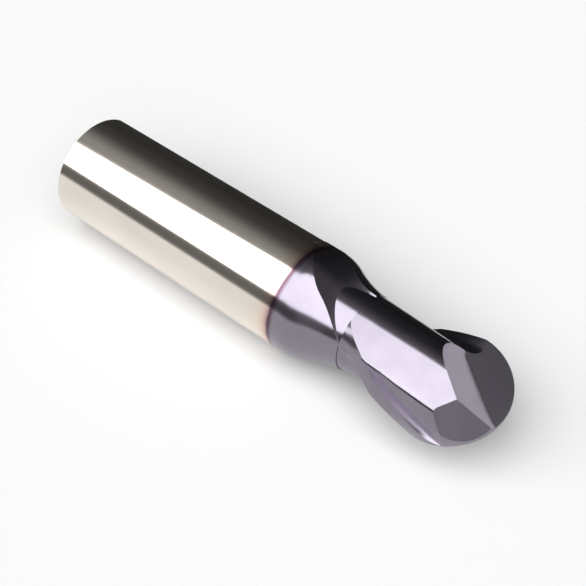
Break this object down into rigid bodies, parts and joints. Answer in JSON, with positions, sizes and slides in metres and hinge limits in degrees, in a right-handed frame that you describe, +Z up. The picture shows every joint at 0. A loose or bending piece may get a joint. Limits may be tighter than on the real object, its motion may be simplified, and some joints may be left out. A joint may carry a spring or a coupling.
{
  "type": "ball nose end mill",
  "caption": "Solid carbide ball nose end mill, two helical flutes, necked head with a dark hard coating and a plain polished round shank.",
  "frame": {"origin": "centre of the shank's flat rear face, on the tool's axis", "axes": "+X along the tool's axis from the shank's rear face to the ball's tip; +Z up, with the tool lying on its side on a table"},
  "size_m": [0.092, 0.02, 0.02],
  "materials": {
    "bare_carbide": "ground and polished bare cemented carbide, faint lengthwise lap, straw heat tint by the coating's edge",
    "coated_carbide": "thin violet-grey nitride coating over fine ground faces"
  },
  "bodies": {
    "root": {"shank": "bare_carbide", "neck": "coated_carbide", "web_core": "coated_carbide", "tooth_1": "coated_carbide", "tooth_2": "coated_carbide"}
  },
  "joints": []
}
